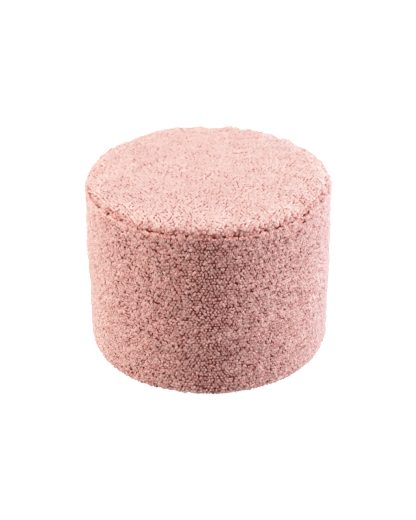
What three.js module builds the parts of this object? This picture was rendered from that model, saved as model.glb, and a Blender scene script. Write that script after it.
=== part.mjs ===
// A round plush pouf, firmly filled: a crowned top panel, a side band and a flat base panel,
// sewn together edge to edge. The curly pile is short, so the solids reach to its tips.
// Millimetres, +Z up. The origin is on the floor, under the middle of the base.
// The front is towards -Y, and the upright seam that closes the side band is at the back, +Y.

import * as THREE from "three";
import { mergeVertices } from "three/addons/utils/BufferGeometryUtils.js";

// Driving sizes
const POUF_DIAMETER = 360; // over the tips of the pile
const POUF_HEIGHT = 281; // floor to the middle of the crowned top
const TOP_SEAM_HEIGHT = 262; // floor to the seam between the top panel and the side band
const BASE_PANEL_DIAMETER = 316;
const BASE_PANEL_THICKNESS = 3;
const PIECE_GAP = 0.3; // between pieces that lie on each other

// How the stitching and the filling shape the cloth
const TOP_CROWN = 7; // the middle of the top over the start of its rolled edge
const TOP_ROLL_WIDTH = 30; // how far in from the side the edge of the top starts to roll down
const TOP_LIP = 1.5; // the rolled edge stops this far inside the side
const SEAM_TUCK = 7; // how far the top seam is drawn in behind the pile
const SEAM_MOUTH = 3; // the pile parts by this much above and below the top seam
const BAND_SHOULDER = 12; // height of the band's rounded upper edge
const BAND_SWELL = 1; // how far the middle of the band swells out
const BOTTOM_CORNER = 14; // radius where the band turns under
const BAND_CLEARANCE = 0.5; // the pouf stands on its base panel, and the band just clears the floor
const BASE_SEAM_TUCK = 2.4; // how far the base seam is drawn up into the underside
const CLOSING_SEAM_DEPTH = 1.5; // how far the upright seam is drawn in at the back
const CLOSING_SEAM_REACH = 7; // how far from that seam the pile still leans in

// How finely the surfaces are divided
const STEPS_AROUND = 96;
const TOP_STEPS = 13;
const TOP_ROLL_STEPS = 8;
const SHOULDER_STEPS = 5;
const BAND_STEPS = 20;
const CORNER_STEPS = 5;
const BASE_STEPS = 3;
const FLAT_SHARES = [0.3, 0.6, 0.85]; // where the hidden flat faces are divided, of their radius

// Worked out from the sizes above
const SIDE_RADIUS = POUF_DIAMETER / 2;
const SEAM_RADIUS = SIDE_RADIUS - SEAM_TUCK;
const BASE_RADIUS = BASE_PANEL_DIAMETER / 2;

// The top seam isn't level: it wanders up and down as it goes round.
const SEAM_WANDER = [
  { waves: 3, height: 0.8, turn: 2.8 },
  { waves: 7, height: 0.6, turn: 0.9 },
  { waves: 12, height: 0.5, turn: 4.1 },
  { waves: 23, height: 0.35, turn: 1.7 },
];
const SEAM_WANDER_REACH = 14; // how far above and below the seam the cloth follows it

// Broad swells and hollows of the filled cover, and the lumps in which the pile gathers:
// every is the size of one swell and hollow, depth its height, and turn places it.
const LUMPS = [
  { every: 150, depth: 0.6, turn: 0.4 },
  { every: 62, depth: 0.45, turn: 1.3 },
  { every: 36, depth: 0.5, turn: 2.2 },
];
const LUMP_TILT = new THREE.Vector3(0.5, 0.3, 0.8).normalize();

const plush = () => new THREE.MeshStandardMaterial({ color: 0xdca69c, roughness: 1, metalness: 0 });
const baseCloth = () => new THREE.MeshStandardMaterial({ color: 0xcdb3aa, roughness: 0.95, metalness: 0 });

// The bell curve of how close a distance is to nothing, with a given reach.
function closeness(distance, reach) {
  return Math.exp(-((distance / reach) ** 2));
}

// The wander of the top seam in the direction of an angle.
function seamWander(angle) {
  return SEAM_WANDER.reduce((sum, w) => sum + w.height * Math.sin(w.waves * angle + w.turn), 0);
}

// How far the cover stands proud at a point: a gyroid for each size of lump, whose value
// runs from about -1.5 to 1.5 and has no straight rows in it.
function unevenness(point) {
  return LUMPS.reduce((sum, lump) => {
    const at = point.clone().applyAxisAngle(LUMP_TILT, lump.turn);
    at.multiplyScalar((2 * Math.PI) / lump.every);
    const gyroid =
      Math.sin(at.x) * Math.cos(at.y) + Math.sin(at.y) * Math.cos(at.z) + Math.sin(at.z) * Math.cos(at.x);
    return sum + lump.depth * gyroid;
  }, 0);
}

// The upright closing seam draws the band in behind the pouf, by its distance round the side.
function closingSeam(point) {
  const roundTheSide = SIDE_RADIUS * (Math.atan2(point.y, point.x) - Math.PI / 2);
  return -CLOSING_SEAM_DEPTH * closeness(roundTheSide, CLOSING_SEAM_REACH);
}

// A solid of revolution about Z from a closed outline of (radius, height) points,
// with its duplicate points merged, so that each point can be moved once.
function turned(outline) {
  const geometry = new THREE.LatheGeometry(outline, STEPS_AROUND);
  geometry.rotateX(Math.PI / 2);
  geometry.deleteAttribute("normal");
  geometry.deleteAttribute("uv");
  const solid = mergeVertices(geometry, 1e-3);
  solid.computeVertexNormals();
  return solid;
}

// 0 on the faces where pieces meet and at the floor, rising to 1 on the pile that shows.
function showing(point) {
  const fromAxis = Math.hypot(point.x, point.y);
  const fromSeam = Math.hypot(fromAxis - SEAM_RADIUS, point.z - TOP_SEAM_HEIGHT);
  const onJoinedFace = fromAxis < SEAM_RADIUS && Math.abs(point.z - TOP_SEAM_HEIGHT) < 1;
  const offTheFloor = THREE.MathUtils.smoothstep(point.z, BASE_PANEL_THICKNESS + 1, BOTTOM_CORNER);
  return onJoinedFace ? 0 : offTheFloor * THREE.MathUtils.smoothstep(fromSeam, 0, SEAM_TUCK);
}

// Moves each point of a turned solid out along its normal, by how(point) where it shows,
// and the parts near the top seam up or down with it.
function madeUneven(solid, how) {
  const places = solid.getAttribute("position");
  const normals = solid.getAttribute("normal");
  const point = new THREE.Vector3();
  const normal = new THREE.Vector3();
  for (let i = 0; i < places.count; i++) {
    point.fromBufferAttribute(places, i);
    normal.fromBufferAttribute(normals, i);
    const outward = (Math.hypot(point.x, point.y) / SIDE_RADIUS) ** 4;
    const near = closeness(point.z - TOP_SEAM_HEIGHT, SEAM_WANDER_REACH);
    const lift = seamWander(Math.atan2(point.y, point.x)) * outward * near;
    point.addScaledVector(normal, showing(point) * how(point));
    places.setXYZ(i, point.x, point.y, point.z + lift);
  }
  solid.computeVertexNormals();
  return solid;
}

// The top panel: flat where it lies on the filling, drawn in at the seam, rolled over the
// edge, and crowned in the middle.
function topPanel() {
  const seat = TOP_SEAM_HEIGHT + PIECE_GAP / 2;
  const rollStart = SIDE_RADIUS - TOP_ROLL_WIDTH;
  const rollHeight = POUF_HEIGHT - TOP_CROWN;
  const lip = SIDE_RADIUS - TOP_LIP;
  const roll = new THREE.CubicBezierCurve(
    new THREE.Vector2(SEAM_RADIUS, seat),
    new THREE.Vector2(lip + SEAM_MOUTH, seat + SEAM_MOUTH / 2),
    new THREE.Vector2(lip - SEAM_MOUTH, rollHeight),
    new THREE.Vector2(rollStart, rollHeight)
  );
  const outline = [new THREE.Vector2(0, seat)];
  for (const share of FLAT_SHARES) {
    outline.push(new THREE.Vector2(SEAM_RADIUS * share, seat));
  }
  outline.push(...roll.getSpacedPoints(TOP_ROLL_STEPS));
  for (let i = 1; i <= TOP_STEPS; i++) {
    const radius = rollStart * (1 - i / TOP_STEPS);
    outline.push(new THREE.Vector2(radius, POUF_HEIGHT - TOP_CROWN * (radius / rollStart) ** 2));
  }
  return new THREE.Mesh(madeUneven(turned(outline), unevenness), plush());
}

// The side band with what fills it: a drum whose upper edge rounds in to the top seam, and
// whose lower edge turns under to the base seam.
function sideBand() {
  const seat = TOP_SEAM_HEIGHT - PIECE_GAP / 2;
  const shoulderFoot = seat - BAND_SHOULDER;
  const overBase = BASE_PANEL_THICKNESS + PIECE_GAP;
  const aroundBase = BASE_RADIUS + PIECE_GAP;
  const cornerStart = SIDE_RADIUS - BAND_SWELL - BOTTOM_CORNER;
  const shoulder = new THREE.CubicBezierCurve(
    new THREE.Vector2(SIDE_RADIUS - BAND_SWELL, shoulderFoot),
    new THREE.Vector2(SIDE_RADIUS, shoulderFoot + BAND_SHOULDER / 2),
    new THREE.Vector2(SIDE_RADIUS, seat - SEAM_MOUTH / 2),
    new THREE.Vector2(SEAM_RADIUS, seat)
  );
  const outline = [
    new THREE.Vector2(0, overBase),
    new THREE.Vector2(aroundBase / 2, overBase),
    new THREE.Vector2(aroundBase, overBase),
    new THREE.Vector2(aroundBase, BAND_CLEARANCE + BASE_SEAM_TUCK),
    new THREE.Vector2(aroundBase + BASE_SEAM_TUCK, BAND_CLEARANCE),
  ];
  for (let i = 0; i <= CORNER_STEPS; i++) {
    const turn = ((i / CORNER_STEPS) * Math.PI) / 2;
    const height = BAND_CLEARANCE + BOTTOM_CORNER * (1 - Math.cos(turn));
    outline.push(new THREE.Vector2(cornerStart + BOTTOM_CORNER * Math.sin(turn), height));
  }
  for (let i = 1; i < BAND_STEPS; i++) {
    const share = i / BAND_STEPS;
    const swell = BAND_SWELL * Math.sin(Math.PI * share);
    const height = THREE.MathUtils.lerp(BAND_CLEARANCE + BOTTOM_CORNER, shoulderFoot, share);
    outline.push(new THREE.Vector2(SIDE_RADIUS - BAND_SWELL + swell, height));
  }
  outline.push(...shoulder.getSpacedPoints(SHOULDER_STEPS));
  for (const share of FLAT_SHARES.toReversed()) {
    outline.push(new THREE.Vector2(SEAM_RADIUS * share, seat));
  }
  outline.push(new THREE.Vector2(0, seat));
  const solid = madeUneven(turned(outline), (point) => unevenness(point) + closingSeam(point));
  return new THREE.Mesh(solid, plush());
}

// The base panel: a flat round of plain cloth that the pouf stands on.
function basePanel() {
  const outline = [];
  for (let i = 0; i <= BASE_STEPS; i++) {
    outline.push(new THREE.Vector2((BASE_RADIUS * i) / BASE_STEPS, 0));
  }
  for (let i = BASE_STEPS; i >= 0; i--) {
    outline.push(new THREE.Vector2((BASE_RADIUS * i) / BASE_STEPS, BASE_PANEL_THICKNESS));
  }
  return new THREE.Mesh(turned(outline), baseCloth());
}

const pouf = new THREE.Group();
const pieces = { top_panel: topPanel(), side_band: sideBand(), base_panel: basePanel() };
for (const [name, piece] of Object.entries(pieces)) {
  piece.name = name;
  pouf.add(piece);
}

export default pouf;
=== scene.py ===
import math

import bpy
import numpy as np
from bpy.props import FloatProperty, FloatVectorProperty, PointerProperty
from mathutils import Matrix, Vector


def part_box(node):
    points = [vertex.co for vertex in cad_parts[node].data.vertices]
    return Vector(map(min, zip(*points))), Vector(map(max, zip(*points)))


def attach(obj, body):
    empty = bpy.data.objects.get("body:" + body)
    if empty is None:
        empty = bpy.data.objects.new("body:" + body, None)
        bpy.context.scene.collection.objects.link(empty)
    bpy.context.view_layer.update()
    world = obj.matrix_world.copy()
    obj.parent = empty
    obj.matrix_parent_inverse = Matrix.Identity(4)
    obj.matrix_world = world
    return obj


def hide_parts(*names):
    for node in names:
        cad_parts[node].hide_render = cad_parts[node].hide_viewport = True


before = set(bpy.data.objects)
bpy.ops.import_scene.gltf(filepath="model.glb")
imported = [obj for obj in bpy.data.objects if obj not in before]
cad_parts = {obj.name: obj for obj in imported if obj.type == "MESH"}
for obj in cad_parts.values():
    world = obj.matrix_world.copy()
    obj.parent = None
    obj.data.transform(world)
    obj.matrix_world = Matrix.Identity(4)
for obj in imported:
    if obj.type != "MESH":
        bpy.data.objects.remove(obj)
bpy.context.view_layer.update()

bl_info = {
    "name": "Round plush pouf",
    "version": (1, 0, 0),
    "blender": (4, 5, 0),
    "location": "View3D > Sidebar > Pouf",
    "description": "Dresses a round pouf in curly plush: settled covers, pile, base cloth and stage",
    "category": "Object",
}

MM = 0.001
SEED = 417

# What the frame gives. The solids carry soft lumps about a millimetre high.
TOP_LOW, TOP_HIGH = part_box("top_panel")
SIDE_LOW, SIDE_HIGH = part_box("side_band")
BASE_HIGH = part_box("base_panel")[1]
LUMP_HEIGHT = 1.3 * MM
SIDE_RADIUS = (SIDE_HIGH.x - SIDE_LOW.x) / 2 - LUMP_HEIGHT / 2
SEAM_HEIGHT = (SIDE_HIGH.z + TOP_LOW.z) / 2
TOP_HEIGHT = TOP_HIGH.z - LUMP_HEIGHT
BASE_RADIUS = BASE_HIGH.x
BASE_THICKNESS = BASE_HIGH.z

# How the solids are shaped: the same sizes as in the part's source, but for the bottom corner
TOP_CROWN = 7 * MM
TOP_ROLL_WIDTH = 30 * MM
BAND_SHOULDER = 12 * MM
BAND_SWELL = 1 * MM
BOTTOM_CORNER = 9.5 * MM  # tighter than the solid's 14, as the photo shows it
BAND_CLEARANCE = 0.5 * MM
CLOSING_SEAM_DEPTH = 1.5 * MM
CLOSING_SEAM_REACH = 7 * MM
SEAM_WANDER = ((3, 0.8 * MM, 2.8), (7, 0.6 * MM, 0.9), (12, 0.5 * MM, 4.1), (23, 0.35 * MM, 1.7))
SEAM_WANDER_REACH = 14 * MM
LUMPS = ((150 * MM, 0.6 * MM, 0.4), (62 * MM, 0.45 * MM, 1.3), (36 * MM, 0.5 * MM, 2.2))
LUMP_TILT = Vector((0.5, 0.3, 0.8)).normalized()
BASE_EDGE = 1 * MM  # radius of the base panel's turned edge
PIECE_GAP = 0.3 * MM  # between the base panel and the filling over it
LUMPS_FROM, LUMPS_FULL = 4 * MM, 14 * MM  # heights over the floor where the lumps start and are full

# How finely the covers are divided, and for how many frames they settle
SIDE_COLUMNS = 180
SIDE_ROWS = 46
TOP_CELLS = 56
BASE_COLUMNS = 96
SETTLE_FRAMES = 20

# One curl: where its rings lie along it, how thick and how high it is there
CURL_SIDES = 6
CURL_AT = np.array([0.0, 0.17, 0.5, 0.83, 1.0])
CURL_GIRTH = np.array([0.0, 0.88, 1.0, 0.88, 0.0])
CURL_RISE = np.sin(np.pi * CURL_AT) ** 0.7
CURL_SINK = 0.8 * MM  # how deep its ends go into the backing
LEAST_HEIGHT = 1 * MM
GIRTH_MOST = 0.56  # the most that half its thickness may be, as a share of the pile's height
FLOOR_GAP = 0.4 * MM  # no curl hangs lower than this

# How curls differ, mostly by chance, as shares of their size where nothing else is said
ROOT_CHANCE = 0.2  # of the spacing, either way
HEIGHT_CHANCE = (-0.22, 0.1)
GIRTH_CHANCE = (0.8, 1.15)
LENGTH_CHANCE = (0.65, 1.2)
BEND_CHANCE = 0.16  # of the length, either way
TILT_CHANCE = 0.5 * MM  # of its top, either way
LEAN_CHANCE = 0.3  # radians
TINT_CHANCE = 0.2  # of the way from the darkest tint to the lightest
FOOT_SHADE_CHANCE = (0.65, 1)  # how much shade is painted on its foot, from 0 to 1
KNOB_LENGTH = 0.5  # of a long curl's
COMBED_LENGTH = 0.25  # how much longer a curl is where it is combed

# How the pile is pressed flat: all over the top, and a little where the side is combed
TOP_UPRIGHT = 11 * MM  # how far in from the seam the top's pile still stands
SIDE_PRESSED = 0.25
LEFT_PRESSED = 0.03  # how much more on the left, and less on the right
PRESSED_LOW = 0.4  # how much lower the pile is where it is pressed flat
PRESSED_EVEN = 0.7  # how much less its height differs by chance there
PRESSED_FLAT, PRESSED_WIDE = 0.6, 0.6  # how much flatter and wider a curl is there
PRESSED_LESS_SHADE = 1.3  # how much less shade is painted on a curl's foot there

# How the side's pile is combed, with angles round the pouf from the middle of its front
COMBED_LEAN = math.radians(60)  # from level
COMBED_FROM = 0.2
COMBED_TO = 2.2
ROW_PITCH = 1.6  # from row to row, in curl spacings
ROW_PULL = 0.17  # how far a root is drawn to its row, in curl spacings
ROW_LESS = 0.25  # how much less in the middle, and as much again on the right
KNOBS = 0.9  # share of short curls where it stands upright
KNOBS_LESS = 0.65  # how much smaller that share is where it is combed
COMBED_CALM = 0.85  # how much weaker the swirls are there

# The drifts over the pouf: how far it is from one swell to the next, and how strong they are
SWIRL_EVERY, FINE_SWIRL_EVERY = 40 * MM, 13 * MM
SWIRL, FINE_SWIRL = 1.6, 0.7  # radians
ROW_WAVE_EVERY = 45 * MM
ROW_WAVE = 1.6  # radians
HEIGHT_EVERY, RIDGE_EVERY = 17 * MM, 12 * MM
HEIGHT_DRIFT = 0.35 * MM
SEAM_END_EVERY = 11 * MM
SEAM_END, SEAM_END_DRIFT = 0.4 * MM, 1.4 * MM  # how far from the top seam the side's pile ends
TINT_EVERY = 60 * MM
TINT_DRIFT = 0.16  # of the way from the darkest tint to the lightest

# The ridges in which the pile stands up above and below the top seam
RIDGE_PLACE, RIDGE_REACH = 5 * MM, 4 * MM
RIDGE_HEIGHT, RIDGE_UNEVENNESS = 1.3 * MM, 0.9 * MM
RIDGE_WIDE = 0.4  # how much wider a curl is there
SEAM_MOUTH = 2.2 * MM  # how near the seam the pile is short again
SEAM_SHORT, CLOSING_SHORT = 0.5, 0.3  # how much shorter it is at the top seam and the upright one

# The map of the curls: tints across, depths of the foot's painted shade up, and the free edge in each cell
TINT_CELLS = (8, 4)
TINT_MARGIN = 0.05
TIP_COLOUR_FROM, TIP_COLOUR_TO = 0.05, 0.5  # how far out on a curl its tip colour starts and is full: painted light on its crest, painted shade below
FIBRE_SCALE = 30  # of the noise that is the fibres, over the whole map

TOP_PILE_PIECES = 2
SIDE_PILE_PIECES = 4

# The stage. Tones are the light given, as a share of twice white, and the light shown.
AIM = Vector((-1.1 * MM, 0, 0.1264))
FLOOR_REACH = 6
FLOOR_COLOUR = (0.45, 0.44, 0.44, 1)
FLOOR_GLOW = 1.6
WORLD_GLOW = 2.2
TONES = (
    (0, 0), (0.05, 0.09), (0.125, 0.25), (0.2, 0.42), (0.3, 0.63), (0.4, 0.79), (0.5, 0.89),
    (0.65, 0.96), (1, 1),
)
LIGHTS = {
    "top_light": {"place": (0, 0.1, 2.2), "aim": (0, 0, 0.28), "size": 3.2, "colour": (0.99, 0.81, 0.76)},
    "left_light": {"place": (-2.4, 0, 0.5), "aim": (0, 0, 0.14), "size": 1.5, "colour": (0.89, 0.85, 0.78)},
    "right_light": {"place": (2.4, 0, 0.5), "aim": (0, 0, 0.14), "size": 1.5, "colour": (0.91, 1.07, 1.18)},
    "front_light": {"place": (0, -2.6, 1.1), "aim": (0, 0, 0.14), "size": 1.5, "colour": (0.78, 1, 0.97)},
}


class PoufSizes(bpy.types.PropertyGroup):
    """The sizes that set how the pouf looks."""

    pile_height: FloatProperty(
        name="Pile height", description="From the backing cloth to the top of a curl",
        default=4.4 * MM, min=1 * MM, max=10 * MM, unit="LENGTH",
    )
    curl_spacing: FloatProperty(
        name="Curl spacing", description="From one curl's root to the next",
        default=4.8 * MM, min=3 * MM, max=20 * MM, unit="LENGTH",
    )
    curl_thickness: FloatProperty(
        name="Curl thickness", description="Across one curl",
        default=4.0 * MM, min=1 * MM, max=10 * MM, unit="LENGTH",
    )
    curl_length: FloatProperty(
        name="Curl length", description="From end to end of one curl as it lies",
        default=6.0 * MM, min=2 * MM, max=20 * MM, unit="LENGTH",
    )
    seam_tuck: FloatProperty(
        name="Seam tuck", description="How far the top seam is drawn in behind the pile",
        default=5.6 * MM, min=2 * MM, max=20 * MM, unit="LENGTH",
    )
    swell: FloatProperty(
        name="Swell", description="How far the filling may press the cover out while it settles",
        default=2.2 * MM, min=0, max=10 * MM, unit="LENGTH",
    )


class PoufColours(bpy.types.PropertyGroup):
    """The colours of the pouf, as linear values."""

    tip: FloatVectorProperty(
        name="Tip colour", description="Top of a curl", subtype="COLOR", size=3,
        default=(0.88, 0.565, 0.54), min=0, max=1,
    )
    # Partly the curl's deeper dye at its root and partly painted shade on its feet and underside.
    root: FloatVectorProperty(
        name="Root colour", description="Foot of a curl", subtype="COLOR", size=3,
        default=(0.33, 0.066, 0.049), min=0, max=1,
    )
    # Dark partly as the cloth's own colour and partly as painted shade in the gaps between the side's
    # curls.
    backing: FloatVectorProperty(
        name="Backing colour", description="Knitted cloth under the pile", subtype="COLOR", size=3,
        default=(0.20, 0.026, 0.019), min=0, max=1,
    )
    # A paler copy of the backing colour, with less painted shade between the top's pressed curls.
    top_backing_less_shade: FloatVectorProperty(
        name="Top backing colour", description="Knitted cloth under the pressed pile of the top",
        subtype="COLOR", size=3, default=(0.44, 0.16, 0.13), min=0, max=1,
    )
    base_cloth: FloatVectorProperty(
        name="Base cloth colour", description="Plain cloth under the pouf", subtype="COLOR", size=3,
        default=(0.60, 0.42, 0.38), min=0, max=1,
    )


class PoufStage(bpy.types.PropertyGroup):
    """The camera's and the lights' settings."""

    view_height: FloatProperty(
        name="Camera elevation", description="Angle of the camera above the horizon",
        default=math.radians(29.49), subtype="ANGLE",
    )
    view_distance: FloatProperty(
        name="Camera distance", description="From the camera to the point that it looks at",
        default=1.98, min=0.5, unit="LENGTH",
    )
    view_roll: FloatProperty(
        name="Camera roll", description="Turn of the camera about its own axis",
        default=math.radians(-0.44), subtype="ANGLE",
    )
    lens: FloatProperty(
        name="Lens", description="Focal length on a sensor 36 mm long",
        default=90.4, min=10, subtype="DISTANCE_CAMERA",
    )
    top_light: FloatProperty(
        name="Top light", description="Power of the soft light overhead",
        default=80, min=0, subtype="POWER", unit="POWER",
    )
    side_light: FloatProperty(
        name="Side lights", description="Power of the soft light on each side",
        default=103, min=0, subtype="POWER", unit="POWER",
    )
    front_light: FloatProperty(
        name="Front light", description="Power of the weak light behind the camera",
        default=44, min=0, subtype="POWER", unit="POWER",
    )


def unit(vectors):
    """Vectors at length 1."""
    return vectors / np.maximum(np.linalg.norm(vectors, axis=-1, keepdims=True), 1e-12)


def closeness(distance, reach):
    """The bell curve exp(-(distance / reach) squared)."""
    return np.exp(-((distance / reach) ** 2))


def bezier(corners, steps):
    """Points of a cubic curve at even steps: the corners weighted by 1 3 3 1, t and 1 - t."""
    t = np.linspace(0, 1, steps)[:, None]
    a, b, c, d = (np.array(corner, float) for corner in corners)
    return a * (1 - t) ** 3 + 3 * b * t * (1 - t) ** 2 + 3 * c * t**2 * (1 - t) + d * t**3


def runs_of(path):
    """How far along a bent line each of its points lies."""
    steps = np.linalg.norm(np.diff(path, axis=0), axis=1)
    return np.concatenate([[0], np.cumsum(steps)])


def along(path, shares):
    """Points of a bent line at shares of its length, from 0 to 1."""
    runs = runs_of(path)
    at = np.asarray(shares) * runs[-1]
    return np.stack([np.interp(at, runs, path[:, i]) for i in range(path.shape[1])], axis=-1)


def seam_wander(points):
    """How far the cloth near the top seam is moved up: a sum of waves round the pouf, fading
    towards the middle by the fourth power of the radius and away from the seam by a bell curve."""
    angle = np.arctan2(points[..., 1], points[..., 0])
    outward = (np.hypot(points[..., 0], points[..., 1]) / SIDE_RADIUS) ** 4
    waves = sum(height * np.sin(count * angle + turn) for count, height, turn in SEAM_WANDER)
    return waves * outward * closeness(points[..., 2] - SEAM_HEIGHT, SEAM_WANDER_REACH)


def lumps(points):
    """How far the filled cover stands proud: for each size of lump, the gyroid
    sin x cos y + sin y cos z + sin z cos x of the points, turned and scaled."""
    proud = np.zeros(points.shape[:-1])
    for every, depth, turn in LUMPS:
        at = points @ np.array(Matrix.Rotation(turn, 3, LUMP_TILT)).T * (2 * np.pi / every)
        x, y, z = at[..., 0], at[..., 1], at[..., 2]
        proud += depth * (np.sin(x) * np.cos(y) + np.sin(y) * np.cos(z) + np.sin(z) * np.cos(x))
    return proud


def drift(points, every, seed, waves=9):
    """A smooth random value from about -1 to 1: a sum of plane waves in random directions,
    each about every long."""
    chance = np.random.default_rng(seed)
    ways = unit(chance.normal(size=(waves, 3)))
    pace = 2 * np.pi / (every * chance.uniform(0.7, 1.5, waves))
    turns = chance.uniform(0, 2 * np.pi, waves)
    return np.sin(points @ ways.T * pace + turns).sum(-1) / math.sqrt(waves)


def closing_seam(points):
    """How near points are to the upright seam at the back, from 0 to 1."""
    round_the_side = SIDE_RADIUS * (np.arctan2(points[..., 1], points[..., 0]) - np.pi / 2)
    on_the_side = np.hypot(points[..., 0], points[..., 1]) > SIDE_RADIUS - BAND_SHOULDER
    return closeness(round_the_side, CLOSING_SEAM_REACH) * on_the_side


def mesh_of(name, places, faces):
    """A mesh of an (n, 3) array of points and a list of arrays of faces, one row a face."""
    mesh = bpy.data.meshes.new(name)
    corners = np.concatenate([rows.ravel() for rows in faces]).astype(np.int32)
    sizes = np.concatenate([np.full(len(rows), rows.shape[1]) for rows in faces])
    starts = np.concatenate([[0], np.cumsum(sizes)[:-1]]).astype(np.int32)
    mesh.vertices.add(len(places))
    mesh.vertices.foreach_set("co", np.asarray(places, np.float32).ravel())
    mesh.loops.add(len(corners))
    mesh.loops.foreach_set("vertex_index", corners)
    mesh.polygons.add(len(starts))
    mesh.polygons.foreach_set("loop_start", starts)
    mesh.update(calc_edges=True)
    mesh.shade_smooth()
    return mesh


def piece_of(name, mesh, material):
    """An object in the scene that rides on the pouf, with its material."""
    piece = bpy.data.objects.new(name, mesh)
    bpy.context.scene.collection.objects.link(piece)
    mesh.materials.append(material)
    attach(piece, "root")
    return piece


def places_of(mesh):
    """The points of a mesh as an (n, 3) array."""
    places = np.empty(len(mesh.vertices) * 3, np.float32)
    mesh.vertices.foreach_get("co", places)
    return places.reshape(-1, 3).astype(float)


def revolved(profile, columns):
    """The points and faces of a profile of (radius, height) rows carried round the Z axis.
    The first and last rows lie on the axis and become one point each, with a fan round it."""
    angle = np.linspace(0, 2 * np.pi, columns, endpoint=False)
    rings = profile[1:-1]
    grid = np.stack([
        rings[:, :1] * np.cos(angle), rings[:, :1] * np.sin(angle),
        np.repeat(rings[:, 1:], columns, axis=1),
    ], axis=-1)
    poles = [[0, 0, profile[0, 1]], [0, 0, profile[-1, 1]]]
    places = np.concatenate([grid.reshape(-1, 3), poles])
    number = np.arange(len(rings) * columns).reshape(len(rings), columns)
    after = np.roll(number, -1, axis=1)
    quads = np.stack([number[:-1], after[:-1], after[1:], number[1:]], axis=-1).reshape(-1, 4)
    first, last = number.size, number.size + 1
    low = np.stack([after[0], number[0], np.full(columns, first)], axis=-1)
    high = np.stack([number[-1], after[-1], np.full(columns, last)], axis=-1)
    return places, [quads, np.concatenate([low, high])]


def settled(cover, held, swell):
    """Lets the filling press a closed cover out: cloth with pressure and no gravity, with the
    held points pinned, and no point moved further than the swell."""
    start = places_of(cover.data)
    pins = cover.vertex_groups.new(name="held")
    pins.add([int(i) for i in held], 1.0, "REPLACE")
    cloth = cover.modifiers.new("Filling", "CLOTH")
    cloth.settings.quality = 5
    cloth.settings.mass = 0.2
    cloth.settings.tension_stiffness = 30
    cloth.settings.compression_stiffness = 30
    cloth.settings.bending_stiffness = 2
    cloth.settings.use_pressure = True
    cloth.settings.uniform_pressure_force = 4
    cloth.settings.vertex_group_mass = pins.name
    cloth.settings.shrink_min = -0.008  # below nothing, so the cloth grows a little
    cloth.settings.effector_weights.gravity = 0
    scene = bpy.context.scene
    for number in range(1, SETTLE_FRAMES + 1):
        scene.frame_set(number)
    shown = cover.evaluated_get(bpy.context.evaluated_depsgraph_get())
    moved = places_of(shown.data) - start
    cover.modifiers.remove(cloth)
    cover.vertex_groups.remove(pins)
    scene.frame_set(1)
    far = np.linalg.norm(moved, axis=1, keepdims=True)
    places = start + moved * np.minimum(1, swell / np.maximum(far, 1e-9))
    cover.data.vertices.foreach_set("co", places.astype(np.float32).ravel())
    cover.data.update()
    return places


def side_path(sizes):
    """The backing of the side band from the base seam to the top seam, as (radius, height):
    a short run under the pouf, a quarter turn, a slightly swelled wall and a drawn-in edge."""
    wall = SIDE_RADIUS - sizes.pile_height - BAND_SWELL
    corner = BOTTOM_CORNER - sizes.pile_height
    floor = BAND_CLEARANCE + sizes.pile_height
    turn = np.linspace(0, np.pi / 2, 8)[:, None]
    round_under = np.hstack([wall - corner + corner * np.sin(turn), floor + corner * (1 - np.cos(turn))])
    rise = np.linspace(0, 1, 20)[1:-1, None]
    foot, head = floor + corner, SEAM_HEIGHT - BAND_SHOULDER
    upright = np.hstack([wall + BAND_SWELL * np.sin(np.pi * rise), foot + (head - foot) * rise])
    seam = SIDE_RADIUS - sizes.seam_tuck
    shoulder = bezier([
        (wall, head), (wall + 0.8 * MM, SEAM_HEIGHT - 5 * MM),
        (wall + 0.3 * MM, SEAM_HEIGHT - 1.5 * MM), (seam, SEAM_HEIGHT - 0.2 * MM),
    ], 10)
    base_seam = [(BASE_RADIUS + 0.4 * MM, 1.2 * MM), (BASE_RADIUS + 2.5 * MM, floor - 0.6 * MM)]
    return np.concatenate([base_seam, round_under, upright, shoulder])


def top_path(sizes):
    """The backing of the top panel from its middle to the seam, as (radius, height): a crown
    that falls with the square of the radius, then a rolled edge."""
    start = SIDE_RADIUS - TOP_ROLL_WIDTH
    height = TOP_HEIGHT - sizes.pile_height * (1 - PRESSED_LOW)
    radius = np.linspace(0, start, 20)[:, None]
    crown = np.hstack([radius, height - TOP_CROWN * (radius / start) ** 2])
    edge = height - TOP_CROWN
    seam = SIDE_RADIUS - sizes.seam_tuck
    roll = bezier([
        (start, edge), (start + 12 * MM, edge), (seam + 2 * MM, SEAM_HEIGHT + 6 * MM),
        (seam, SEAM_HEIGHT + 0.2 * MM),
    ], 14)
    return np.concatenate([crown, roll[1:]])


def disc_of_square(x, y):
    """A square from -1 to 1 bent to a disc of radius 1, so that no pole gathers thin faces."""
    return x * np.sqrt(1 - y**2 / 2), y * np.sqrt(1 - x**2 / 2)


def square_of_disc(u, v):
    """The way back from the disc to the square."""
    lean, stretch = u**2 - v**2, 2 * math.sqrt(2)
    x = np.sqrt(np.maximum(2 + lean + stretch * u, 0)) - np.sqrt(np.maximum(2 + lean - stretch * u, 0))
    y = np.sqrt(np.maximum(2 - lean + stretch * v, 0)) - np.sqrt(np.maximum(2 - lean - stretch * v, 0))
    return x / 2, y / 2


def uneven(grid, outward):
    """A cover's grid of points moved out by the lumps and up by the seam's wander."""
    near_seam = closeness(grid[..., 2] - SEAM_HEIGHT, 4 * MM)
    over_floor = np.clip((grid[..., 2] - LUMPS_FROM) / (LUMPS_FULL - LUMPS_FROM), 0, 1)
    proud = lumps(grid) * (1 - near_seam) * over_floor
    moved = grid + outward * proud[..., None]
    moved[..., 2] += seam_wander(grid)
    return moved


def normals_of(grid):
    """The direction across a grid at each point: the cross product of its two slopes."""
    return unit(np.cross(np.gradient(grid, axis=0), np.gradient(grid, axis=1)))


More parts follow.
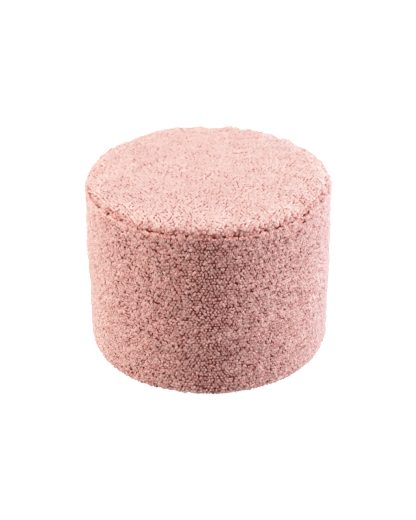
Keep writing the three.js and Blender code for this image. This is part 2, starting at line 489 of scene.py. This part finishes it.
def on_grid(grid, row, column):
    """Values between the points of a grid, at fractional rows and columns."""
    row = np.clip(row, 0, grid.shape[0] - 1.001)
    column = np.clip(column, 0, grid.shape[1] - 1.001)
    i, j = row.astype(int), column.astype(int)
    a, b = (row - i)[:, None], (column - j)[:, None]
    low = grid[i, j] * (1 - b) + grid[i, j + 1] * b
    high = grid[i + 1, j] * (1 - b) + grid[i + 1, j + 1] * b
    return low * (1 - a) + high * a


def side_cover(sizes, material):
    """The side band's backing: a closed drum from its path and hidden flat ends. Returns the
    grid of its settled wall, with the first column again at the end."""
    path = along(side_path(sizes), np.linspace(0, 1, SIDE_ROWS))
    under, over = BASE_THICKNESS + PIECE_GAP, path[-1, 1]
    inside = [(0, under), (BASE_RADIUS * 0.6, under), (BASE_RADIUS - 1 * MM, under)]
    lid = [(path[-1, 0] * 0.6, over), (0, over)]
    places, faces = revolved(np.concatenate([inside, path, lid]), SIDE_COLUMNS)
    first = (len(inside) - 1) * SIDE_COLUMNS
    wall = slice(first, first + SIDE_ROWS * SIDE_COLUMNS)
    grid = places[wall].reshape(SIDE_ROWS, SIDE_COLUMNS, 3)
    closed = np.concatenate([grid, grid[:, :1]], axis=1)
    grid = uneven(grid, -normals_of(closed)[:, :-1])
    grid -= unit(grid * (1, 1, 0)) * closing_seam(grid)[..., None] * CLOSING_SEAM_DEPTH
    places[wall] = grid.reshape(-1, 3)
    piece = piece_of("side_cover", mesh_of("side_cover", places, faces), material)
    held = np.ones(len(places), bool)
    held[wall] = False
    held[wall.start:wall.start + 3 * SIDE_COLUMNS] = True
    held[wall.stop - SIDE_COLUMNS:wall.stop] = True
    places = settled(piece, np.flatnonzero(held), sizes.swell)
    grid = places[wall].reshape(SIDE_ROWS, SIDE_COLUMNS, 3)
    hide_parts("side_band")
    return np.concatenate([grid, grid[:, :1]], axis=1)


def top_cover(sizes, material):
    """The top panel's backing: a square grid bent to a disc and laid along the top's path, over
    a flat seat with the same rim. Returns the grid of its settled top."""
    steps = np.linspace(-1, 1, TOP_CELLS + 1)
    x, y = np.meshgrid(steps, steps, indexing="ij")
    u, v = disc_of_square(x, y)
    share, angle = np.hypot(u, v), np.arctan2(v, u)
    path = top_path(sizes)
    at = along(path, share.ravel())
    radius, height = at.reshape(*share.shape, 2).transpose(2, 0, 1)
    grid = np.stack([radius * np.cos(angle), radius * np.sin(angle), height], axis=-1)
    grid = uneven(grid, np.array([0.0, 0.0, 1.0]))
    seam = path[-1]
    seat = np.stack([seam[0] * u, seam[0] * v, np.full(u.shape, seam[1])], axis=-1)
    number = np.arange(grid[..., 0].size).reshape(share.shape)
    under = number.copy()
    under[1:-1, 1:-1] = number.size + np.arange((TOP_CELLS - 1) ** 2).reshape(TOP_CELLS - 1, -1)

    def cells(n):
        return np.stack([n[:-1, :-1], n[1:, :-1], n[1:, 1:], n[:-1, 1:]], axis=-1).reshape(-1, 4)

    places = np.concatenate([grid.reshape(-1, 3), seat[1:-1, 1:-1].reshape(-1, 3)])
    faces = [np.concatenate([cells(number), cells(under)[:, ::-1]])]
    piece = piece_of("top_cover", mesh_of("top_cover", places, faces), material)
    places = settled(piece, np.unique(under), sizes.swell)
    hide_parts("top_panel")
    return places[:number.size].reshape(*share.shape, 3)


def base_cover(material):
    """The base panel: a flat round of cloth with a turned edge, lying on the floor. Its profile
    is two level lines and a half circle between them."""
    turn = np.linspace(-np.pi / 2, np.pi / 2, 7)
    rim = np.stack([
        BASE_RADIUS - BASE_EDGE + BASE_EDGE * np.cos(turn),
        np.where(turn > 0, BASE_THICKNESS - BASE_EDGE, BASE_EDGE) + BASE_EDGE * np.sin(turn),
    ], axis=-1)
    flat = np.linspace(0, BASE_RADIUS - BASE_EDGE, 12)[:-1]
    low = np.stack([flat, np.zeros(len(flat))], axis=-1)
    high = np.stack([flat[::-1], np.full(len(flat), BASE_THICKNESS)], axis=-1)
    places, faces = revolved(np.concatenate([low, rim, high]), BASE_COLUMNS)
    piece = piece_of("base_cover", mesh_of("base_cover", places, faces), material)
    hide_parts("base_panel")


def scattered(width, height, spacing, chance):
    """Roots in rows of triangles over a flat piece of cloth, each then moved by chance."""
    step = spacing * math.sqrt(3) / 2
    rows = np.linspace(0, height, round(height / step) + 1)
    columns = np.arange(0, width - spacing / 2, width / round(width / spacing))
    x, y = np.meshgrid(columns, rows)
    x = x + (np.arange(len(rows)) % 2)[:, None] * spacing / 2
    moved = chance.uniform(-ROOT_CHANCE, ROOT_CHANCE, (2, *x.shape)) * spacing
    return (x + moved[0]).ravel(), (y + moved[1]).ravel()


def from_front(roots):
    """The angle from the front to the roots, to the right positive."""
    return np.arctan2(roots[:, 0], -roots[:, 1])


def combed(angle):
    """Which way the side's pile is combed, from -1 to 1, by the angle from the front: a
    hyperbolic tangent, nothing in the middle of the front, that fades away again at the back."""
    return np.tanh(angle / COMBED_FROM) * np.exp(-((angle / COMBED_TO) ** 6))


def in_rows(x, y, spacing):
    """Roots drawn towards wavy rows that run the way the pile is combed: each is moved across
    the rows by a sine of its place, most on the left, so that the pile parts between them."""
    nap = combed((x / SIDE_RADIUS - np.pi / 2) % (2 * np.pi) - np.pi)
    over, up = -np.sin(COMBED_LEAN * nap), np.cos(COMBED_LEAN * nap)
    wave = ROW_WAVE * drift(np.stack([x, y, 0 * x], axis=-1), ROW_WAVE_EVERY, SEED + 7)
    part = np.sin(2 * np.pi * (over * x + up * y) / (ROW_PITCH * spacing) + wave)
    moved = ROW_PULL * spacing * np.abs(nap) * (1 - ROW_LESS - ROW_LESS * nap) * part
    return x - over * moved, y - up * moved


def side_roots(grid, sizes, chance):
    """Roots on the side band's settled wall, with the normal, the distance to the top seam and
    how far the pile is pressed flat there. Short of the seam they end at a drifting height."""
    run = runs_of(side_path(sizes))[-1]
    start, end = 0.8 * MM, 0.2 * MM
    x, y = scattered(2 * np.pi * SIDE_RADIUS, run - start - end, sizes.curl_spacing, chance)
    x, y = in_rows(x, y, sizes.curl_spacing)
    column = (x / (2 * np.pi * SIDE_RADIUS)) % 1 * (grid.shape[1] - 1)
    row = (y + start) / run * (grid.shape[0] - 1)
    roots, normal = on_grid(grid, row, column), -unit(on_grid(normals_of(grid), row, column))
    kept = run - y > SEAM_END + SEAM_END_DRIFT * drift(roots, SEAM_END_EVERY, SEED + 5)
    angle = from_front(roots[kept])
    pressed = (SIDE_PRESSED - LEFT_PRESSED * np.sin(angle)) * (1 - closeness(angle, 1))
    return roots[kept], normal[kept], (run - y)[kept], pressed


def top_roots(grid, sizes, chance):
    """Roots on the top panel's settled top, with the normal, the distance to the seam and how
    far the pile is pressed flat there, which is all over but close to the seam."""
    run = runs_of(top_path(sizes))[-1]
    x, y = scattered(2 * run, 2 * run, sizes.curl_spacing, chance)
    x, y = x - run, y - run
    kept = np.hypot(x, y) < run
    x, y = x[kept], y[kept]
    a, b = square_of_disc(x / run, y / run)
    row, column = (a + 1) / 2 * TOP_CELLS, (b + 1) / 2 * TOP_CELLS
    normal = unit(on_grid(normals_of(grid), row, column))
    to_seam = run - np.hypot(x, y)
    pressed = 1 - closeness(to_seam, TOP_UPRIGHT)
    return on_grid(grid, row, column), normal, to_seam, pressed


def curl_ways(roots, normal, nap, chance):
    """Which curls are short knobs, more of them where the pile isn't combed, and the way that
    each lies along the cloth: by the comb, by swirls that drift over the pouf and by chance."""
    swirl = SWIRL * drift(roots, SWIRL_EVERY, SEED + 1)
    swirl = swirl + FINE_SWIRL * drift(roots, FINE_SWIRL_EVERY, SEED + 2)
    knob = chance.random(len(roots)) < KNOBS - KNOBS_LESS * np.abs(nap)
    lean = COMBED_LEAN * nap + swirl * (1 - COMBED_CALM * np.abs(nap))
    lean = lean + chance.normal(0, LEAN_CHANCE, len(roots))
    up = np.where(np.abs(normal[:, 2:]) > 0.85, (0.0, 1.0, 0.0), (0.0, 0.0, 1.0))
    across = unit(np.cross(up, normal))
    rising = np.cross(normal, across)
    return knob, across * np.cos(lean)[:, None] + rising * np.sin(lean)[:, None]


def curl_heights(roots, normal, to_seam, pressed, ridge, sizes, chance):
    """How high each curl rises from the backing: uneven by chance and by a drift, lower where
    it is pressed, at the seams and close over the floor, and higher in the ridges."""
    differs = chance.uniform(*HEIGHT_CHANCE, len(roots)) * (1 - PRESSED_EVEN * pressed)
    high = sizes.pile_height * (1 + differs)
    high *= 1 - PRESSED_LOW * np.clip(pressed / 0.95, 0, 1)**4
    high += HEIGHT_DRIFT * drift(roots, HEIGHT_EVERY, SEED + 3)
    high += (RIDGE_HEIGHT + RIDGE_UNEVENNESS * drift(roots, RIDGE_EVERY, SEED + 6)) * ridge
    at_seams = 1 - CLOSING_SHORT * closing_seam(roots)
    high *= at_seams * (1 - SEAM_SHORT * closeness(to_seam, SEAM_MOUTH))
    over_floor = (roots[:, 2] - 0.6 * MM) / np.maximum(-normal[:, 2], 0.2)
    room = np.where(normal[:, 2] < -0.2, over_floor, 1)
    return np.minimum(high, np.maximum(room, LEAST_HEIGHT))


def curl_points(roots, normal, to_seam, pressed, sizes, chance):
    """The points of every curl, as (curls, points, 3). Each is a tube with pointed ends whose
    middle line rises from the backing as a power of a sine, bends sideways as a full sine and
    runs along the cloth. Pressed curls are flatter and wider."""
    count = len(roots)
    nap = combed(from_front(roots)) * (normal[:, 2] < 0.5)
    ridge = closeness(to_seam - RIDGE_PLACE, RIDGE_REACH)
    knob, lie = curl_ways(roots, normal, nap, chance)
    beside = np.cross(normal, lie)
    high = curl_heights(roots, normal, to_seam, pressed, ridge, sizes, chance)
    girth = sizes.curl_thickness / 2 * chance.uniform(*GIRTH_CHANCE, count)
    girth = np.minimum(girth, sizes.pile_height * GIRTH_MOST)
    girth = girth * (1 + RIDGE_WIDE * ridge + PRESSED_WIDE * pressed)
    flat = 1 - PRESSED_FLAT * pressed
    length = sizes.curl_length * chance.uniform(*LENGTH_CHANCE, count)
    length = length * np.where(knob, KNOB_LENGTH, 1 + COMBED_LENGTH * np.abs(nap))
    bend = chance.uniform(-1, 1, count) * BEND_CHANCE * length
    tilt = chance.uniform(-1, 1, (count, 2)) * TILT_CHANCE

    def spread(values):
        return values[:, None, None]

    at, rise = CURL_AT[None, :, None], CURL_RISE[None, :, None]
    middle = roots[:, None] + normal[:, None] * (spread(high - girth * flat + CURL_SINK) * rise - CURL_SINK)
    middle = middle + lie[:, None] * (spread(length) * (at - 0.5) + spread(tilt[:, 0]) * rise)
    middle = middle + beside[:, None] * (spread(bend) * np.sin(2 * np.pi * at) + spread(tilt[:, 1]) * rise)
    way = unit(np.gradient(middle, axis=1))
    side = unit(beside[:, None] - way * np.sum(beside[:, None] * way, axis=-1, keepdims=True))
    out = np.cross(side, way)
    turn = 2 * np.pi * np.arange(CURL_SIDES) / CURL_SIDES
    ring = side[:, 1:-1, None] * np.sin(turn)[:, None]
    ring = ring + out[:, 1:-1, None] * np.cos(turn)[:, None] * flat[:, None, None, None]
    rings = middle[:, 1:-1, None] + ring * (spread(girth) * CURL_GIRTH[None, 1:-1, None])[..., None]
    points = np.concatenate([rings.reshape(count, -1, 3), middle[:, :1], middle[:, -1:]], axis=1)
    points[..., 2] = np.maximum(points[..., 2], FLOOR_GAP)
    return points


def curl_faces():
    """The faces of one curl and their places on its map, from 0 to 1 round it and along it:
    squares between the rings and a fan of triangles at each end."""
    rings = len(CURL_AT) - 2
    k = np.arange(CURL_SIDES)
    after = (k + 1) % CURL_SIDES
    squares, squares_map = [], []
    for j in range(rings - 1):
        here, there = j * CURL_SIDES, (j + 1) * CURL_SIDES
        squares.append(np.stack([here + after, there + after, there + k, here + k], axis=-1))
        low, high = np.full(CURL_SIDES, CURL_AT[j + 1]), np.full(CURL_SIDES, CURL_AT[j + 2])
        u = np.stack([k + 1, k + 1, k, k], axis=-1) / CURL_SIDES
        squares_map.append(np.stack([u, np.stack([low, high, high, low], axis=-1)], axis=-1))
    first, last = rings * CURL_SIDES, rings * CURL_SIDES + 1
    end = (rings - 1) * CURL_SIDES
    fans = [
        np.stack([np.full(CURL_SIDES, first), after, k], axis=-1),
        np.stack([np.full(CURL_SIDES, last), end + k, end + after], axis=-1),
    ]
    u = np.stack([k + 0.5, k + 1, k], axis=-1) / CURL_SIDES
    v = np.repeat([[0, CURL_AT[1], CURL_AT[1]]], CURL_SIDES, axis=0)
    fans_map = [np.stack([u, v], axis=-1), np.stack([u[:, [0, 2, 1]], 1 - v], axis=-1)]
    faces = [np.concatenate(squares), np.concatenate(fans)]
    maps = [np.concatenate(squares_map), np.concatenate(fans_map)]
    return faces, maps


def pile_piece(name, points, tint, material):
    """One mesh of many curls, with a map on which each curl lies in the cell of its tint."""
    faces, maps = curl_faces()
    offset = np.arange(len(points))[:, None, None] * points.shape[1]
    all_faces = [(rows[None] + offset).reshape(-1, rows.shape[1]) for rows in faces]
    mesh = mesh_of(name, points.reshape(-1, 3), all_faces)
    cells = np.array(TINT_CELLS)
    inner = 1 - 2 * TINT_MARGIN
    spots = [(tint[:, None, None] + TINT_MARGIN + inner * part[None]) / cells for part in maps]
    layer = mesh.uv_layers.new(name="OFBake")
    layer.uv.foreach_set("vector", np.concatenate([spot.ravel() for spot in spots]).astype(np.float32))
    piece_of(name, mesh, material)


def tints(roots, pressed, chance):
    """The cell of each curl's tint: across, lighter or darker by a drift over the cloth and by chance;
    up, how much shade is painted on its foot, which is least where the pile is pressed flat."""
    shade = 0.5 + TINT_DRIFT * drift(roots, TINT_EVERY, SEED + 4)
    shade = shade + chance.normal(0, TINT_CHANCE, len(roots))
    depth = chance.uniform(*FOOT_SHADE_CHANCE, len(roots)) - PRESSED_LESS_SHADE * pressed
    cell = np.stack([shade * TINT_CELLS[0], depth * TINT_CELLS[1]], axis=-1)
    return np.clip(np.floor(cell), 0, np.array(TINT_CELLS) - 1)


def pile(name, roots, normal, to_seam, pressed, pieces, sizes, material, chance):
    """The pile of one cover, in pieces that are sectors of the pouf."""
    points = curl_points(roots, normal, to_seam, pressed, sizes, chance)
    tint = tints(roots, pressed, chance)
    sector = ((np.arctan2(roots[:, 1], roots[:, 0]) / (2 * np.pi) + 0.75) % 1 * pieces).astype(int)
    for number in range(pieces):
        kept = sector == number
        pile_piece(f"{name}_{number + 1}", points[kept], tint[kept], material)


def node_of(tree, kind, **settings):
    """A new node in a tree, with its settings."""
    node = tree.nodes.new(kind)
    for key, value in settings.items():
        setattr(node, key, value)
    return node


def maths(tree, operation, *values, clamp=False):
    """A Math node in a tree. Values are numbers or sockets. Returns its output."""
    node = node_of(tree, "ShaderNodeMath", operation=operation, use_clamp=clamp)
    for socket, value in zip(node.inputs, values):
        if isinstance(value, bpy.types.NodeSocket):
            tree.links.new(value, socket)
        else:
            socket.default_value = value
    return node.outputs[0]


def mixed(tree, factor, one, other, blend="MIX"):
    """A colour Mix node in a tree. Returns its output."""
    node = node_of(tree, "ShaderNodeMix", data_type="RGBA", blend_type=blend)
    for socket, value in ((node.inputs[0], factor), (node.inputs[6], one), (node.inputs[7], other)):
        if isinstance(value, bpy.types.NodeSocket):
            tree.links.new(value, socket)
        else:
            socket.default_value = value
    return node.outputs[2]


def scaled(tree, colour, factor):
    """A colour made lighter or darker by a factor, both sockets. Returns its output."""
    node = node_of(tree, "ShaderNodeVectorMath", operation="SCALE")
    tree.links.new(colour, node.inputs[0])
    tree.links.new(factor, node.inputs["Scale"])
    return node.outputs[0]


def group_of(name, inputs, outputs):
    """An empty shader group with named sockets, and its two end nodes."""
    tree = bpy.data.node_groups.new(name, "ShaderNodeTree")
    for label, kind, value in inputs:
        socket = tree.interface.new_socket(name=label, in_out="INPUT", socket_type=kind)
        if value is not None:
            socket.default_value = value
    for label, kind in outputs:
        tree.interface.new_socket(name=label, in_out="OUTPUT", socket_type=kind)
    return tree, tree.nodes.new("NodeGroupInput"), tree.nodes.new("NodeGroupOutput")


def mottle_group():
    """Soft unevenness of dye: a noise on the object's own coordinates that makes a colour
    lighter and darker by a given amount."""
    tree, given, made = group_of(
        "Mottle",
        [("Colour", "NodeSocketColor", (1, 1, 1, 1)), ("Size", "NodeSocketFloat", 0.05),
         ("Amount", "NodeSocketFloat", 0.1)],
        [("Colour", "NodeSocketColor"), ("Value", "NodeSocketFloat")],
    )
    place = node_of(tree, "ShaderNodeTexCoord").outputs["Object"]
    noise = node_of(tree, "ShaderNodeTexNoise")
    noise.inputs["Detail"].default_value = 3
    tree.links.new(place, noise.inputs["Vector"])
    tree.links.new(maths(tree, "DIVIDE", 1, given.outputs["Size"]), noise.inputs["Scale"])
    value = noise.outputs["Fac"]
    both_ways = maths(tree, "MULTIPLY", given.outputs["Amount"], 2)
    shade = maths(tree, "MULTIPLY_ADD", maths(tree, "SUBTRACT", value, 0.5), both_ways, 1)
    tree.links.new(scaled(tree, given.outputs["Colour"], shade), made.inputs["Colour"])
    tree.links.new(value, made.inputs["Value"])


def curl_group():
    """The colour of a curl from its map: dark at its feet and on its underside, partly the root's deeper
    dye and partly painted shade, pale on top as painted light, with the tint of its cell, and the height of
    its twisted fibres."""
    tree, given, made = group_of(
        "Curl",
        [("Tip", "NodeSocketColor", (1, 1, 1, 1)), ("Root", "NodeSocketColor", (0, 0, 0, 1)),
         ("Shade", "NodeSocketFloat", 0.2)],
        [("Colour", "NodeSocketColor"), ("Fibres", "NodeSocketFloat")],
    )
    spot = node_of(tree, "ShaderNodeUVMap", uv_map="OFBake").outputs[0]
    parts = node_of(tree, "ShaderNodeSeparateXYZ")
    tree.links.new(spot, parts.inputs[0])
    cell_x = maths(tree, "MULTIPLY", parts.outputs[0], TINT_CELLS[0])
    cell_y = maths(tree, "MULTIPLY", parts.outputs[1], TINT_CELLS[1])

    def inside(cell):
        part = maths(tree, "SUBTRACT", maths(tree, "FRACT", cell), TINT_MARGIN)
        return maths(tree, "MULTIPLY", part, 1 / (1 - 2 * TINT_MARGIN), clamp=True)

    around, run = inside(cell_x), inside(cell_y)
    # Painted light and shade: the tip colour on a curl's outer crest, and the foot colour on its ends and
    # underside, where the pile shades itself.
    turn = maths(tree, "COSINE", maths(tree, "MULTIPLY", around, 2 * math.pi))
    outward = maths(tree, "MULTIPLY_ADD", turn, 0.5, 0.5)
    arch = maths(tree, "SINE", maths(tree, "MULTIPLY", run, math.pi))
    high = node_of(tree, "ShaderNodeMapRange", interpolation_type="SMOOTHSTEP")
    high.inputs["From Min"].default_value = TIP_COLOUR_FROM
    high.inputs["From Max"].default_value = TIP_COLOUR_TO
    lit = maths(tree, "MULTIPLY", arch, maths(tree, "MULTIPLY_ADD", outward, 0.8, 0.2))
    tree.links.new(lit, high.inputs["Value"])
    # The foot colour: from the tip colour towards the root colour by the cell's row, as painted shade over
    # the root's deeper dye.
    step_y = maths(tree, "DIVIDE", maths(tree, "FLOOR", cell_y), TINT_CELLS[1] - 1)
    depth = maths(tree, "MULTIPLY_ADD", step_y, 0.85, 0.15)
    foot = mixed(tree, depth, given.outputs["Tip"], given.outputs["Root"])
    colour = mixed(tree, high.outputs["Result"], foot, given.outputs["Tip"])
    step_x = maths(tree, "DIVIDE", maths(tree, "FLOOR", cell_x), TINT_CELLS[0] - 1)
    shade = maths(tree, "MULTIPLY_ADD", maths(tree, "SUBTRACT", step_x, 0.5), given.outputs["Shade"], 1)
    tree.links.new(scaled(tree, colour, shade), made.inputs["Colour"])
    strands = node_of(tree, "ShaderNodeTexNoise", noise_dimensions="2D")
    strands.inputs["Detail"].default_value = 2
    strands.inputs["Scale"].default_value = FIBRE_SCALE
    tree.links.new(spot, strands.inputs["Vector"])
    tree.links.new(strands.outputs["Fac"], made.inputs["Fibres"])


def weave_group():
    """Plain weave on the object's own X and Y: two rows of sine threads that pass over each
    other by turns. Gives the height of the cloth."""
    tree, given, made = group_of(
        "Plain weave", [("Pitch", "NodeSocketFloat", 0.001)], [("Height", "NodeSocketFloat")],
    )
    parts = node_of(tree, "ShaderNodeSeparateXYZ")
    tree.links.new(node_of(tree, "ShaderNodeTexCoord").outputs["Object"], parts.inputs[0])
    turns = maths(tree, "DIVIDE", math.pi, given.outputs["Pitch"])
    wave_x, wave_y = (
        maths(tree, "SINE", maths(tree, "MULTIPLY", place, turns)) for place in parts.outputs[:2]
    )
    over = maths(tree, "MULTIPLY", wave_x, wave_y)
    under = maths(tree, "MULTIPLY", over, -1)
    warp = maths(tree, "MULTIPLY", maths(tree, "ABSOLUTE", wave_x), maths(tree, "MAXIMUM", over, 0))
    weft = maths(tree, "MULTIPLY", maths(tree, "ABSOLUTE", wave_y), maths(tree, "MAXIMUM", under, 0))
    tree.links.new(maths(tree, "ADD", warp, weft), made.inputs["Height"])


def cloth_material(name, roughness, sheen, sheen_roughness):
    """A new material with a matt Principled shader. Returns it, its tree and the shader."""
    material = bpy.data.materials.new(name)
    material.use_nodes = True
    tree = material.node_tree
    shader = tree.nodes["Principled BSDF"]
    shader.inputs["Roughness"].default_value = roughness
    shader.inputs["Specular IOR Level"].default_value = 0.15
    shader.inputs["Sheen Weight"].default_value = sheen
    shader.inputs["Sheen Roughness"].default_value = sheen_roughness
    return material, tree, shader


def placed(tree, group, **values):
    """A shader group placed in a material, with its inputs set by name."""
    node = node_of(tree, "ShaderNodeGroup", node_tree=bpy.data.node_groups[group])
    for label, value in values.items():
        node.inputs[label].default_value = value
    return node


def bumped(tree, height, distance, strength, shader):
    """Joins a height to a shader's normal through a Bump node."""
    bump = node_of(tree, "ShaderNodeBump")
    bump.inputs["Distance"].default_value = distance
    bump.inputs["Strength"].default_value = strength
    tree.links.new(height, bump.inputs["Height"])
    tree.links.new(bump.outputs[0], shader.inputs["Normal"])


def plush_material(colours):
    """The curls: pale tips and deep rose feet, which are painted light and shade over the root's deeper
    dye, a soft sheen and fine twisted fibres.
    """
    material, tree, shader = cloth_material("plush_pile", 0.95, 0.08, 0.6)
    curl = placed(tree, "Curl", Tip=(*colours.tip, 1), Root=(*colours.root, 1), Shade=0.14)
    tree.links.new(curl.outputs["Colour"], shader.inputs["Base Color"])
    bumped(tree, curl.outputs["Fibres"], 1 * MM, 0.8, shader)
    return material


def backing_material(name, colour):
    """The knitted backing between the curls, mottled, in the colour given: on the side a deep rose that is
    partly the cloth's own and partly painted shade between the curls, on the top a paler copy with less
    painted shade.
    """
    material, tree, shader = cloth_material(name, 1.0, 0.1, 0.5)
    dye = placed(tree, "Mottle", Colour=(*colour, 1), Size=4 * MM, Amount=0.35)
    tree.links.new(dye.outputs["Colour"], shader.inputs["Base Color"])
    bumped(tree, dye.outputs["Value"], 0.6 * MM, 0.6, shader)
    return material


def base_material(colours):
    """The base cloth: a plain weave, a little mottled, with painted shade where its threads dip."""
    material, tree, shader = cloth_material("base_weave", 0.85, 0.1, 0.5)
    dye = placed(tree, "Mottle", Colour=(*colours.base_cloth, 1), Size=30 * MM, Amount=0.12)
    weave = placed(tree, "Plain weave", Pitch=1.1 * MM)
    # Painted shade: the colour darkened where the weave's height is low, between the threads.
    shaded = mixed(tree, 0.45, dye.outputs["Colour"], weave.outputs["Height"], blend="MULTIPLY")
    tree.links.new(shaded, shader.inputs["Base Color"])
    bumped(tree, weave.outputs["Height"], 0.25 * MM, 0.7, shader)
    return material


def soft_light(name, power, place, aim, size, colour):
    """A square area light that points at a spot."""
    light = bpy.data.lights.new(name, "AREA")
    light.shape = "SQUARE"
    light.size = size
    light.energy = power
    light.color = colour
    lamp = bpy.data.objects.new(name, light)
    lamp.location = place
    lamp.rotation_euler = (Vector(aim) - Vector(place)).to_track_quat("-Z", "Y").to_euler()
    bpy.context.scene.collection.objects.link(lamp)


def floor_material():
    """A pale floor. It is nearly white to the camera and a little greyer to the light that it
    throws back."""
    material = bpy.data.materials.new("pale_floor")
    material.use_nodes = True
    tree = material.node_tree
    tree.nodes.clear()
    out = node_of(tree, "ShaderNodeOutputMaterial")
    dull = node_of(tree, "ShaderNodeBsdfDiffuse")
    dull.inputs["Color"].default_value = FLOOR_COLOUR
    glow = node_of(tree, "ShaderNodeEmission")
    glow.inputs["Strength"].default_value = FLOOR_GLOW
    both = node_of(tree, "ShaderNodeAddShader")
    seen = node_of(tree, "ShaderNodeMixShader")
    path = node_of(tree, "ShaderNodeLightPath")
    tree.links.new(dull.outputs[0], both.inputs[0])
    tree.links.new(glow.outputs[0], both.inputs[1])
    tree.links.new(path.outputs["Is Camera Ray"], seen.inputs[0])
    tree.links.new(dull.outputs[0], seen.inputs[1])
    tree.links.new(both.outputs[0], seen.inputs[2])
    tree.links.new(seen.outputs[0], out.inputs[0])
    return material


def photographic(view):
    """Shows the picture as a camera does, with a soft shoulder in the lights and a soft foot in
    the darks. The curve runs from no light to twice white."""
    view.view_transform = "Standard"
    view.use_curve_mapping = True
    mapping = view.curve_mapping
    mapping.white_level = (2, 2, 2)
    points = mapping.curves[3].points
    points[0].location, points[1].location = TONES[0], TONES[-1]
    for given, shown in TONES[1:-1]:
        points.new(given, shown)
    mapping.update()


def pale_world():
    """A world that the camera sees as white and that throws no light on the pouf."""
    world = bpy.data.worlds.new("studio")
    bpy.context.scene.world = world
    world.use_nodes = True
    tree = world.node_tree
    back = tree.nodes["Background"]
    path = node_of(tree, "ShaderNodeLightPath")
    strength = maths(tree, "MULTIPLY", path.outputs["Is Camera Ray"], WORLD_GLOW)
    tree.links.new(strength, back.inputs["Strength"])
    back.inputs["Color"].default_value = (1, 1, 1, 1)


def pale_floor():
    """A wide square floor at the pouf's foot."""
    corners = np.array([(-1, -1, 0), (1, -1, 0), (1, 1, 0), (-1, 1, 0)]) * FLOOR_REACH
    floor = bpy.data.objects.new("floor", mesh_of("floor", corners, [np.array([[0, 1, 2, 3]])]))
    floor.data.materials.append(floor_material())
    bpy.context.scene.collection.objects.link(floor)


def front_camera(stage):
    """A camera in front of the pouf that looks down at it, turned a little about its own axis."""
    back = Vector((0, -math.cos(stage.view_height), math.sin(stage.view_height)))
    right = Vector((1, 0, 0))
    up = back.cross(right)
    turn = Matrix.Rotation(stage.view_roll, 3, back)
    pose = Matrix((turn @ right, turn @ up, back)).transposed().to_4x4()
    pose.translation = AIM + back * stage.view_distance
    camera = bpy.data.cameras.new("camera")
    camera.lens = stage.lens
    camera.sensor_width = 36
    eye = bpy.data.objects.new("camera", camera)
    eye.matrix_world = pose
    bpy.context.scene.collection.objects.link(eye)
    bpy.context.scene.camera = eye


class PoufOperator(bpy.types.Operator):
    """What the pouf's operators share."""

    bl_options = {"REGISTER", "UNDO"}


class POUF_OT_plush(PoufOperator):
    """Make the plush top and side: settled backing and the curls on it"""

    bl_idname = "pouf.plush"
    bl_label = "Plush top and side"

    def execute(self, context):
        sizes, colours = context.scene.pouf_sizes, context.scene.pouf_colours
        mottle_group()
        curl_group()
        curls = plush_material(colours)
        chance = np.random.default_rng(SEED)
        # The side's backing is painted darker than the top's, as shade between the curls.
        wall = side_cover(sizes, backing_material("side_backing_shaded", colours.backing))
        pile("side_pile", *side_roots(wall, sizes, chance), SIDE_PILE_PIECES, sizes, curls, chance)
        # The top's backing is a paler copy, with less shade painted between its pressed curls.
        top = top_cover(sizes, backing_material("top_backing_less_shade", colours.top_backing_less_shade))
        pile("top_pile", *top_roots(top, sizes, chance), TOP_PILE_PIECES, sizes, curls, chance)
        return {"FINISHED"}


class POUF_OT_base(PoufOperator):
    """Make the base panel that the pouf stands on"""

    bl_idname = "pouf.base"
    bl_label = "Base panel"

    def execute(self, context):
        weave_group()
        base_cover(base_material(context.scene.pouf_colours))
        return {"FINISHED"}


class POUF_OT_stage(PoufOperator):
    """Make the floor, the lights and the camera"""

    bl_idname = "pouf.stage"
    bl_label = "Stage"

    def execute(self, context):
        stage = context.scene.pouf_stage
        powers = {
            "top_light": stage.top_light, "left_light": stage.side_light,
            "right_light": stage.side_light, "front_light": stage.front_light,
        }
        pale_floor()
        pale_world()
        for name, light in LIGHTS.items():
            soft_light(name, powers[name], **light)
        photographic(context.scene.view_settings)
        front_camera(stage)
        return {"FINISHED"}


class POUF_PT_sidebar(bpy.types.Panel):
    """The pouf's settings and steps"""

    bl_label = "Round plush pouf"
    bl_idname = "POUF_PT_sidebar"
    bl_space_type = "VIEW_3D"
    bl_region_type = "UI"
    bl_category = "Pouf"

    def draw(self, context):
        for group in (context.scene.pouf_sizes, context.scene.pouf_colours, context.scene.pouf_stage):
            box = self.layout.box()
            for name in group.__annotations__:
                box.prop(group, name)
        for step in (POUF_OT_plush, POUF_OT_base, POUF_OT_stage):
            self.layout.operator(step.bl_idname)


CLASSES = (
    PoufSizes, PoufColours, PoufStage, POUF_OT_plush, POUF_OT_base, POUF_OT_stage, POUF_PT_sidebar,
)


def register():
    """Registers the classes and hangs the settings on the scene."""
    for each in CLASSES:
        bpy.utils.register_class(each)
    bpy.types.Scene.pouf_sizes = PointerProperty(type=PoufSizes)
    bpy.types.Scene.pouf_colours = PointerProperty(type=PoufColours)
    bpy.types.Scene.pouf_stage = PointerProperty(type=PoufStage)


def unregister():
    """Takes the settings and the classes away again."""
    del bpy.types.Scene.pouf_sizes
    del bpy.types.Scene.pouf_colours
    del bpy.types.Scene.pouf_stage
    for each in reversed(CLASSES):
        bpy.utils.unregister_class(each)


def main():
    """Builds the pouf step by step."""
    register()
    bpy.ops.pouf.plush()
    bpy.ops.pouf.base()
    bpy.ops.pouf.stage()


if __name__ == "__main__":
    main()
